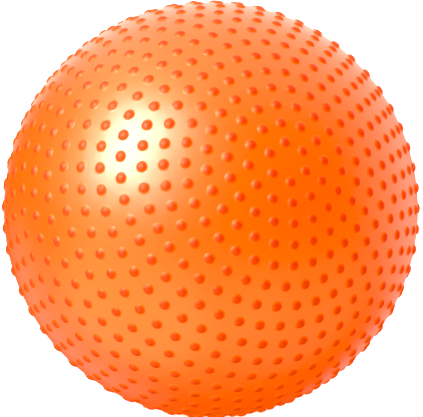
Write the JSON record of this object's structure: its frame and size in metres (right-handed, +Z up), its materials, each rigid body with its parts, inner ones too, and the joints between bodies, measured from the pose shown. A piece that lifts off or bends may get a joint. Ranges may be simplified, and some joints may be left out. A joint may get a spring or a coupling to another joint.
{
  "type": "gym ball",
  "caption": "Inflated exercise ball covered in rings of round massage nubs, with a valve seat fused into its skin and a push-in plug that pulls out.",
  "frame": {"origin": "centre of the ball", "axes": "+Z up; the bare pole of the nub rings faces the front, -Y, raised 19.5 degrees; the valve is at the opposite pole, at the back and low"},
  "size_m": [0.649, 0.6498, 0.649],
  "materials": {
    "skin": "satin pearl soft PVC",
    "seat": "satin soft PVC",
    "plug": "satin white plastic"
  },
  "bodies": {
    "ball": {"ball_skin": "skin", "valve_seat": "seat"},
    "plug": {"valve_plug": "plug"}
  },
  "joints": [
    {"name": "plug_pull", "type": "slide", "parent": "ball", "child": "plug", "axis": [0, 0.9426, -0.3338], "range_m": [0, 0.06]}
  ]
}
